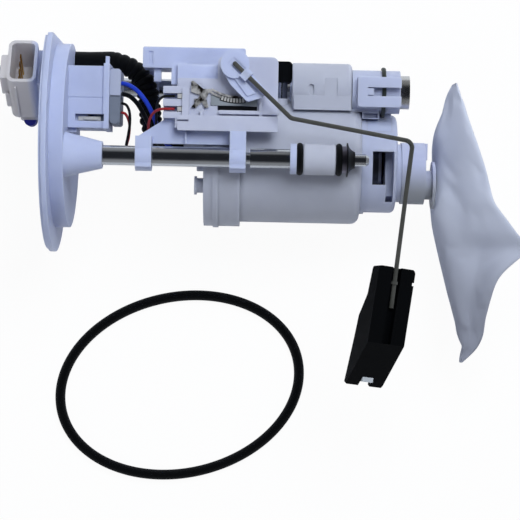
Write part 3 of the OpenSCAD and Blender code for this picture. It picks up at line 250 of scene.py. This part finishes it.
# Brass blades, blue plug and steel nipple of the outer face: stamped, moulded and turned pieces that are
# pressed into the cover.
def metal_material(name, colour, shade, rough=0.25, lines_mm=0.25, axis=0, depth=0.01, bare=1.0,
                   drift_mm=12, patchy=0.0):
    """Drawn or turned metal: fine lines along one axis, a slow drift of tone, and a drift of gloss with it.
    bare below 1 dulls it with a thin film of oil or oxide, which scatters light. patchy parts both tones."""
    m = bpy.data.materials.new(name)
    m.use_nodes = True
    t = m.node_tree
    t.nodes.clear()
    at = add(t, "TexCoord").outputs["Object"]
    stretch = [1000 / lines_mm] * 3
    stretch[axis] = 40.0
    along = add(t, "Mapping", Vector=at, Scale=stretch)
    lines = add(t, "TexNoise", Vector=along.outputs[0], Scale=1.0, Detail=2.0)
    drift = add(t, "TexNoise", Vector=at, Scale=1000 / drift_mm, Detail=4.0)
    apart = add(t, "MapRange", n0=drift.outputs["Fac"], n1=patchy, n2=1 - patchy)
    tone = add(t, "Mix", data_type="RGBA", n0=apart.outputs[0], n6=linear(shade), n7=linear(colour))
    gloss = add(t, "MapRange", n0=drift.outputs["Fac"], n3=rough - 0.06, n4=rough + 0.06)
    bump = add(t, "Bump", Strength=0.2, Distance=depth / 1000, Height=lines.outputs["Fac"])
    skin = add(t, "BsdfPrincipled", Base_Color=tone.outputs[2], Roughness=gloss.outputs[0],
               Normal=bump.outputs[0], Metallic=bare)
    out = add(t, "OutputMaterial")
    t.links.new(skin.outputs[0], out.inputs["Surface"])
    return m


dress(metal_material("brass_strip", "#D9B25A", "#C09440", 0.28, 0.2, 2), "socket_blades")
dress(plastic_material("blue_polyamide", "#2A2C8A", "#222470", 0.4), "vent_plug")
zinc_plate = metal_material("zinc_plated_steel", "#D6D8DA", "#C2C5C8", 0.2, 0.3, 0)
tinned = metal_material("tinned_strip", "#E4E3E0", "#CCCAC6", 0.35, 0.2, 1, bare=0.4)
dress(zinc_plate, "outlet_nipple")
dress(tinned, "inner_terminals")

# Grey plug of the inner harness: a polyamide housing of two moulded halves, the paler one on top. It is
# pushed onto the cover's inner box and carries all four leads.
dress(plastic_material("grey_polyamide", "#7B8290", "#6E7583", 0.45, second=("Y", 20.6, 21.4, "#A9AFC4")),
      "harness_plug")

# Columns: zinc plated rods with spacer tubes, and washers, rubber rings and push nuts that hold the eyes of
# the case. The nuts are pressed on.
dress(zinc_plate, "guide_rods", "upper_sleeves", "middle_sleeves", "lower_sleeves")
dress(natural_acetal, "backing_washers")
dress(metal_material("grey_steel_washer", "#85828E", "#716E7A", 0.4, 0.3, 1), "end_washers")
black_rubber = plastic_material("black_nitrile_rubber", "#0B0C0E", "#060708", 0.6, 0.6, mirror=0.2)
dress(black_rubber, "rubber_cushions")
dress(plastic_material("black_polyamide", "#0C0D10", "#08090B", 0.4, mirror=0.3), "push_nuts")

# Bracket: one moulding of natural acetal with rings round both rods and a web that carries the level sender.
# Its legs reach up to a top plate beside the hose.
dress(natural_acetal, "rod_bracket")

# Level sender: moulded acetal base with a printed ceramic card, tinned lugs for both thin leads and stamped
# contacts of spring steel. The arm holder turns on the base and drags its wiper over the card.
dress(natural_acetal, "arm_holder")
dress(plastic_material("sender_acetal", "#C3C6D6", "#B4B8CB", 0.4, milky=0.5), "sender_housing")
dress(plastic_material("printed_card", "#8F959B", "#7C8288", 0.35, 0.3), "resistor_card")
dress(tinned, "sender_terminals")
# Its strong mottle of near-white and dark brown patches a few millimetres across is painted reflection,
# standing in for the bright and dark reflections of the stamped contacts.
spring_steel = metal_material("spring_steel", "#E8E5E2", "#231D18", 0.28, 0.2, 0, bare=0.55, drift_mm=5,
                              patchy=0.4)
dress(spring_steel, "collector_contacts", "wiper_contacts")

# Track of the card: a black cermet band fired on the ceramic, with tinned pads where the wiper runs, and a
# black strip that fills the slot of the base. Sizes in millimetres.
black_cermet = plastic_material("fired_cermet", "#0D0D0F", "#17171A", 0.3, 0.2)
card_top = 35.0
arc_x, arc_y = 98.5, 45.1


def round_arc(out, up, angle):
    return arc_x + out * np.cos(angle), arc_y + out * np.sin(angle), up


def fix(piece, material):
    """Dresses a new piece that sits on the module."""
    piece.data.materials.append(material)
    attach(piece, "module")


def slab(inner, outer, bottom, thickness):
    """Corners of a rectangular section, as (out, up), in millimetres."""
    return [(inner, bottom), (outer, bottom), (outer, bottom + thickness), (inner, bottom + thickness)]


band_turn = np.radians(np.linspace(250.5, 279.5, 24))
band_net = arc_net(slab(25.0, 28.2, card_top, 0.12), band_turn, round_arc)
fix(net_piece("cermet_band", band_net, smooth=False), black_cermet)
half_pad = 1.2
for number, middle in enumerate(np.linspace(253, 277, 8), 1):
    pad_turn = np.radians([middle - half_pad, middle + half_pad])
    pad_net = arc_net(slab(25.5, 27.7, card_top, 0.38), pad_turn, round_arc)
    fix(net_piece(f"tinned_pad_{number}", pad_net, smooth=False), tinned)
strip_x, strip_y, strip_z = (88.4, 109.2), (13.4, 15.6), (31.8, 34.2)
strip_section = slab(strip_y[0], strip_y[1], strip_z[0], strip_z[1] - strip_z[0])
strip = np.array([[(x, y, z) for y, z in strip_section] for x in strip_x])
fix(net_piece("black_slot_strip", strip / 1000, smooth=False), black_cermet)

# Float arm: drawn steel wire, bent cold and oiled dark, with a float of black foamed nitrile on its end and a
# moulded grey clip that keeps the float on the wire.
dress(metal_material("drawn_steel_wire", "#5E5E59", "#3C3C38", 0.3, 0.3, 0, bare=0.3), "float_wire")
dress(plastic_material("black_nitrile_foam", "#050608", "#030405", 0.7, 0.7, 0.08, mirror=0.15), "float")
dress(plastic_material("grey_acetal_clip", "#C3C8CC", "#B0B5BA", 0.4), "float_clip")

# Filter case, cap and holder: moulded natural acetal round the pump, with a pleated paper ring inside the
# case. A thin panel closes the holder's upper window. Sizes in millimetres.
dress(plastic_material("holder_acetal", "#BCC2D8", "#AEB4CC", 0.4, milky=0.5), "pump_holder")
dress(clear_acetal, "filter_cap", "filter_case")
axis_y, axis_z = -11.5, -8.0


def round_holder(out, up, angle):
    return up, axis_y + out * np.cos(angle), axis_z + out * np.sin(angle)


shutter = slab(26.0, 27.15, 169.7, 12.6)
shutter_net = arc_net(shutter, np.radians(np.linspace(27, 51.5, 12)), round_holder)
fix(net_piece("holder_shutter", shutter_net, smooth=False), natural_acetal)
dress(plastic_material("filter_paper", "#DDD6B4", "#CFC7A2", 0.85, 0.3, 0.1), "filter_element")

# Suction body and neck: one moulding of the same acetal, with painted shade that turns it darker grey towards
# its lower side. The body is pushed onto the holder's collar, and the neck carries the ring of the strainer.
dress(plastic_material("suction_acetal", "#BCC1DA", "#B0B5CE", 0.4, milky=0.6,
                       second=("Y", -12, -27, "#95989F")), "suction_neck", "strainer_spine")

# Pump: drawn steel can with a die cast inlet cover and a moulded outlet cover rolled into its ends, ferrite
# magnets, carbon brushes and a wound armature. Both valves are turned brass, each on a spring with a mesh of
# its own.
dress(metal_material("dark_steel_can", "#6B6C6E", "#55565A", 0.35, 0.3, 0), "pump_can")
dress(plastic_material("black_acetal", "#1A1B1E", "#131416", 0.4), "pump_outlet_cover", "pump_impeller")
dress(metal_material("die_cast_aluminium", "#B9BBBF", "#A2A5AA", 0.45, 0.6, 0, 0.03), "pump_inlet_cover")
dress(plastic_material("ferrite", "#3E3E42", "#313135", 0.55), "motor_magnets")
dress(plastic_material("brush_carbon", "#2B2B2B", "#1F1F1F", 0.5), "motor_brushes")
dress(metal_material("enamelled_copper", "#B0703C", "#8C5428", 0.35, 0.4, 0), "motor_armature")
dress(metal_material("turned_brass", "#C9A256", "#AF8A42", 0.3, 0.2, 1), "check_valve", "regulator_valve")
dress(spring_steel, "check_valve_spring", "regulator_spring")
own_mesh(nodes["check_valve_spring"])
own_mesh(nodes["regulator_spring"])

# Regulator: deep drawn aluminium can, held in its housing by a phosphated wire clip that springs round it
# through two slots. The rubber elbow and the short steel riser lie beside the upper body.
dress(metal_material("deep_drawn_aluminium", "#D4D3CF", "#BDBCB8", 0.27, 0.3, 1), "regulator_can")
clip_x, clip_y, clip_z, clip_reach = 177.8, 27.0, 6.0, 12.7


def round_clip(out, up, angle):
    reach = clip_reach + out
    return clip_x + up, clip_y + reach * np.sin(angle), clip_z - reach * np.cos(angle)


turn = np.linspace(0, 2 * np.pi, 14, endpoint=False)
clip_section = np.stack([0.8 * np.cos(turn), 1.15 * np.sin(turn)], 1)
clip_net = arc_net(clip_section, np.radians(np.linspace(80, 280, 60)), round_clip)
clip = net_piece("regulator_wire_clip", clip_net)
clip.data.materials.append(metal_material("phosphated_wire", "#4A5048", "#2A2F29", 0.5, 0.2, 1, bare=0.5))
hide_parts("regulator_clip")
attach(clip, "module")
dress(black_rubber, "rubber_elbow")
dress(zinc_plate, "riser_tube")


# Hose: black rubber over braid, smooth in its cuff and beaded behind it so that it bends inside the tank.
# It is pushed over the flange's stub and over the nozzle of the filter cap. Stations in millimetres.
def smooth_route(stations, step):
    """Catmull-Rom curve through the stations, resampled at equal steps of its length."""
    p = np.array(stations, float)
    p = np.vstack([2 * p[0] - p[1], p, 2 * p[-1] - p[-2]])
    per_span = 24
    s = np.linspace(0, 1, per_span, endpoint=False)[None, :, None]
    a, b, c, d = (p[i:len(p) - 3 + i, None, :] for i in range(4))
    q = 0.5 * (2 * b + (c - a) * s + (2 * a - 5 * b + 4 * c - d) * s ** 2 + (3 * b - a - 3 * c + d) * s ** 3)
    q = np.vstack([q.reshape(-1, 3), p[-2]])
    run = np.concatenate([[0], np.cumsum(np.linalg.norm(np.diff(q, axis=0), axis=1))])
    want = np.linspace(0, run[-1], max(2, int(round(run[-1] / step)) + 1))
    return np.stack([np.interp(want, run, q[:, k]) for k in range(3)], 1), want


def tube_net(path, radius, sides=24):
    """Rings carried along a path: p + r (cos a side + sin a rise), with side = t x z and rise = side x t."""
    t = np.gradient(path, axis=0)
    t /= np.linalg.norm(t, axis=1)[:, None]
    side = np.cross(t, [0, 0, 1.0])
    side /= np.linalg.norm(side, axis=1)[:, None]
    rise = np.cross(side, t)
    a = np.linspace(0, 2 * np.pi, sides, endpoint=False)
    r = np.broadcast_to(radius, len(path))[:, None, None]
    across, above = np.cos(a)[None, :, None], np.sin(a)[None, :, None]
    return path[:, None] + r * (across * side[:, None] + above * rise[:, None])


hose_stations = np.array([
    (7.7, 41, -12.6), (12.1, 41, -12.6), (16, 41, -12.6), (22, 41.2, -12.6), (28, 41.4, -12.6),
    (34.4, 40.8, -12.6), (40, 38.2, -12.6), (44.6, 33.6, -12.6), (47.4, 27.8, -12.6), (49, 21.2, -12.2),
    (49.8, 14, -11.6), (50.8, 8, -10.4), (53.6, 2.4, -10.4), (59, -1.2, -10.4), (65, -2, -10.4),
    (68.9, -2, -10.4)]) / 1000
core_radius = 0.0054
bead_pitch = 0.0037
bead_height = 0.0015
groove_depth = 0.0006
cuff_end = 0.0214
cuff_height = 0.0013
path, run = smooth_route(hose_stations, bead_pitch / 10)
plain_end = 0.006
bead = np.abs(np.sin(np.pi * (run - cuff_end) / bead_pitch)) ** 0.7
beaded = np.clip((run - cuff_end) / 0.001, 0, 1) * np.clip((run[-1] - plain_end - run) / 0.001, 0, 1)
in_cuff = np.clip((cuff_end + 0.006 - run) / 0.007, 0, 1)
grown = np.clip((run - cuff_end) / (5 * bead_pitch), 0.6, 1)
hose_radius = core_radius + cuff_height * in_cuff + beaded * (bead_height * bead * grown - groove_depth)
hose = net_piece("beaded_hose", tube_net(path, hose_radius, 28))
hose.data.materials.append(black_rubber)
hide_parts("fuel_hose")
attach(hose, "module")

# Leads: tinned copper in a PVC skin, 2.5 mm over the skin for the pump's supply and 1.5 mm for the sender.
# They leave the plug; the thick pair enters the filter cap, and the thin pair ends in the sender's lugs.
supply_radius, signal_radius = 0.00125, 0.00075
for name, node, slot, colour, shade, radius, stations in (
        ("blue_lead", "blue_wire", "blue_lead", "#1F40C4", "#1933A4", supply_radius, (
            (35.8, 28, 17), (40, 26.8, 18.5), (45, 23.2, 19.8), (49.5, 17.6, 19.5), (53, 11, 17.5),
            (56, 3.5, 14), (60, -3.5, 10.5), (66, -8, 8), (72, -9.5, 7.5), (76.4, -9.5, 7.5))),
        ("black_lead", "black_wire", "black_lead", "#0C0D0F", "#070809", supply_radius, (
            (35.8, 22.4, 17), (40, 21.2, 15.5), (44, 17.6, 14), (47.5, 12, 12.5), (51, 5, 11), (55, -2, 8),
            (60, -9, 4), (66, -13, 2), (72, -14, 1.5), (76.4, -14, 1.5))),
        ("sender_black_lead", "thin_black_wire", "black_lead", "#0E0F11", "#08090A", signal_radius, (
            (35.8, 17, 20), (38.6, 16, 20), (40.4, 12.2, 20.6), (40.8, 6, 21.6), (40, -1, 22.6),
            (39.2, -6, 23.4), (39.6, -11, 24), (42.6, -15, 24), (47, -15, 23.6), (51, -10, 23.2),
            (53.6, -3, 23.2), (55, 5, 24.2), (55.2, 12, 27.4), (56.2, 17, 31.8), (58.8, 19.6, 35.2),
            (62, 20.1, 36), (65.4, 20.1, 36))),
        ("sender_red_lead", "thin_red_wire", "red_lead", "#9A2B30", "#842227", signal_radius, (
            (35.8, 12, 20), (38.4, 11, 19.2), (40.4, 6, 18.8), (40.2, -1, 19.6), (39.2, -6, 21),
            (39.4, -10.6, 21.8), (42, -13.6, 22), (47.6, -13.6, 20.4), (50.2, -10, 19.6), (50.8, -4, 20.2),
            (50.8, 2, 23.4), (51.6, 7, 28.4), (54, 11.2, 32.6), (57.8, 13, 35.4), (62, 13.3, 36),
            (65.4, 13.3, 36)))):
    path, run = smooth_route(np.array(stations) / 1000, 0.0008)
    lead = net_piece(name, tube_net(path, radius, 14))
    lead.data.materials.append(plastic_material("pvc_skin_" + name, colour, shade, 0.38, 0.4, 0.02))
    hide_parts(node)
    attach(lead, "module")

# Strainer: a flat bag of fine woven polyamide, welded round its rim and pulled over a plastic ring on the
# neck. It leans out from the bench to its free edge, with a shallow valley down to its curled lower corner.
# The mesh is milky, lets some light through and has no gloss. Outlines in millimetres.
def mesh_material():
    """Plain weave of 0.3 mm threads: sin(x) sin(y) crossed waves as bump, partly translucent, and greyer
    towards the lower corner, which is painted shade."""
    thread_mm = 0.3
    waves = 1000 / thread_mm / math.tau
    m = bpy.data.materials.new("woven_polyamide")
    m.use_nodes = True
    t = m.node_tree
    t.nodes.clear()
    at = add(t, "TexCoord").outputs["Object"]
    turned = add(t, "Mapping", Vector=at, Rotation=(0.0, 0.6, 0.0))
    warp = add(t, "TexWave", Vector=turned.outputs[0], bands_direction="X", Scale=waves)
    weft = add(t, "TexWave", Vector=turned.outputs[0], bands_direction="Y", Scale=waves)
    weave = add(t, "Math", operation="MULTIPLY", n0=warp.outputs["Fac"], n1=weft.outputs["Fac"])
    cloud = add(t, "TexNoise", Vector=at, Scale=1 / 0.02, Detail=3.0)
    tone = add(t, "Mix", data_type="RGBA", n0=cloud.outputs["Fac"], n6=linear("#D6DBEA"),
               n7=linear("#E4E8F4"))
    # Painted shade: the tone turns greyer towards the lower corner of the bag.
    down = add(t, "MapRange", n0=add(t, "SeparateXYZ", n0=at).outputs["Y"], n1=-0.03, n2=-0.105)
    tone = add(t, "Mix", data_type="RGBA", n0=down.outputs[0], n6=tone.outputs[2], n7=linear("#A9ACB8"))
    bump = add(t, "Bump", Strength=0.3, Distance=0.00006, Height=weave.outputs[0])
    skin = add(t, "BsdfPrincipled", Base_Color=tone.outputs[2], Roughness=0.75, Normal=bump.outputs[0],
               Specular_IOR_Level=0.25)
    through = add(t, "BsdfTranslucent", Color=linear("#C9D0E4"), Normal=bump.outputs[0])
    mix = add(t, "MixShader", n0=0.22, n1=skin.outputs[0], n2=through.outputs[0])
    out = add(t, "OutputMaterial")
    t.links.new(mix.outputs[0], out.inputs["Surface"])
    return m


def softened(line, passes):
    """A row of values smoothed by 1-2-1 weights, with its ends held."""
    for _ in range(passes):
        line = np.concatenate([line[:1], (line[:-2] + 2 * line[1:-1] + line[2:]) / 4, line[-1:]])
    return line


rows = np.linspace(-121.2, 33.0, 66)
left_edge = np.array([
    (-121.2, 226.0), (-114, 227.6), (-99.7, 225.4), (-82.6, 220.2), (-60.6, 214.4), (-40.8, 209.6),
    (-30.6, 208.4), (-10.6, 210.0), (3.4, 209.4), (8.3, 210.0), (20.8, 214.4), (33.0, 217.2)])
free_edge = np.array([
    (-121.2, 226.6), (-117.8, 229.9), (-112.7, 234.3), (-105.9, 236.8), (-95.4, 237.3), (-87.2, 238.6),
    (-78.6, 240.3), (-72.7, 242.3), (-67.3, 246.9), (-62.5, 252.4), (-56.8, 258.0), (-50.5, 251.6),
    (-41.3, 244.5), (-32.5, 237.5), (-13.8, 232.5), (-0.3, 228.1), (14.9, 223.0), (33.0, 218.0)])
left = softened(np.interp(rows, left_edge[:, 0], left_edge[:, 1]), 1)
right = softened(np.interp(rows, free_edge[:, 0], free_edge[:, 1]), 1)
crest = softened(np.interp(rows, [-121.2, -57, 0, 33], [-20, 27, 25, 5]), 24)
foot = softened(np.interp(rows, [-121.2, -96, -72, 8, 33], [-25, -49, -62, -62, -6]), 4)
knee = np.minimum(-8, crest - 4)
slant = 0.087
lean = slant * (knee - foot)
p = np.linspace(0, 1, 15)[:-1, None]
q = np.linspace(0, 1, 19)[:, None]
x = np.vstack([left + lean * (1 - p), left + (right - left) * q])
z = np.vstack([foot + (knee - foot) * p, knee + (crest - knee) * q])
x, z = softened(x, 5), softened(z, 5)
inner = np.sin(np.pi * np.linspace(0, 1, len(x)))[:, None]
valley = np.exp(-((x - 237.3 - 0.123 * (rows + 50.3)) / 6.5) ** 2) * np.exp(-((rows + 82) / 26) ** 4)
trough = np.exp(-((x - 218 + 0.12 * rows) / 5) ** 2) * np.exp(-((rows + 25) / 40) ** 4)
z = z - inner ** 0.5 * (7.0 * valley + 1.6 * trough)
ends = np.clip(np.minimum(rows - rows[0], rows[-1] - rows) / 12, 0, 1)
half_depth = 0.4 + 1.8 * np.sqrt(inner * ends)
dx, dz = np.gradient(x, axis=0), np.gradient(z, axis=0)
size = np.hypot(dx, dz)
nx, nz = -dz / size * half_depth, dx / size * half_depth
loop_x = np.vstack([x + nx, (x - nx)[::-1]])
loop_z = np.vstack([z + nz, (z - nz)[::-1]])
net = np.stack([loop_x, np.broadcast_to(rows, loop_x.shape), loop_z], -1).transpose(1, 0, 2) / 1000
sock = net_piece("woven_strainer", net)
start = net.reshape(-1, 3)
s = np.linspace(0, 1, len(x))
rim = np.tile(np.concatenate([s, s[::-1]]), len(rows))
neck_at, ring_reach, ring_end = (-0.0227, -0.008), 0.014, 0.2125
near_neck = np.hypot(start[:, 1] - neck_at[0], start[:, 2] - neck_at[1]) < ring_reach
held = (rim < 0.02) | (rim > 0.98) | (start[:, 1] < rows[2] / 1000) | (start[:, 1] > rows[-3] / 1000)
held |= near_neck & (start[:, 0] < ring_end)
group = sock.vertex_groups.new(name="weld")
group.add([int(i) for i in np.flatnonzero(held)], 1.0, "REPLACE")
cloth = sock.modifiers.new("cloth", "CLOTH")
cloth.settings.use_pressure = True
cloth.settings.uniform_pressure_force = 4
cloth.settings.effector_weights.gravity = 0
cloth.settings.shrink_min = -0.008
cloth.settings.bending_stiffness = 0.4
cloth.settings.vertex_group_mass = "weld"
for number in range(1, 21):
    bpy.context.scene.frame_set(number)
solved = sock.evaluated_get(bpy.context.evaluated_depsgraph_get()).data
now = np.empty(len(solved.vertices) * 3)
solved.vertices.foreach_get("co", now)
sock.modifiers.remove(cloth)
step = now.reshape(-1, 3) - start
reach = np.linalg.norm(step, axis=1)[:, None]
furthest, above_bench = 0.0015, 0.0004
moved = start + step * np.minimum(1, furthest / np.maximum(reach, 1e-9))
moved[:, 2] = np.maximum(moved[:, 2], bench_z + above_bench)
sock.data.vertices.foreach_set("co", moved.ravel())
sock.data.update()
bpy.context.scene.frame_set(1)
finer = sock.modifiers.new("finer", "SUBSURF")
finer.levels = finer.render_levels = 1
sock.data.materials.append(mesh_material())
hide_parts("strainer_sock")
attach(sock, "module")

# Seal: nitrile ring for the tank opening, moulded round with a section of 5.8 mm. It lies loose beside the
# module, as an oval turned by some degrees.
seal_radius = 0.0029
seal_at = np.array([0.0674, -0.1396])
a = np.linspace(0, 2 * np.pi, 240, endpoint=False)
b = np.linspace(0, 2 * np.pi, 20, endpoint=False)
half = np.array([0.0700, 0.0510])
tilt = math.radians(13.7)
line = np.stack([half[0] * np.cos(a), half[1] * np.sin(a), 0 * a], 1)
outward = np.stack([half[1] * np.cos(a), half[0] * np.sin(a), 0 * a], 1)
outward /= np.linalg.norm(outward, axis=1)[:, None]
upward = np.array([0, 0, 1.0])
section = np.cos(b)[None, :, None] * outward[:, None] + np.sin(b)[None, :, None] * upward
turn = np.array([[math.cos(tilt), math.sin(tilt), 0], [-math.sin(tilt), math.cos(tilt), 0], [0, 0, 1]])
net = (line[:, None] + seal_radius * section) @ turn + np.array([*seal_at, bench_z + seal_radius])
seal = net_piece("seal_ring", net, (True, True))
seal.data.materials.append(black_rubber)
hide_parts("tank_seal")
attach(seal, "module")
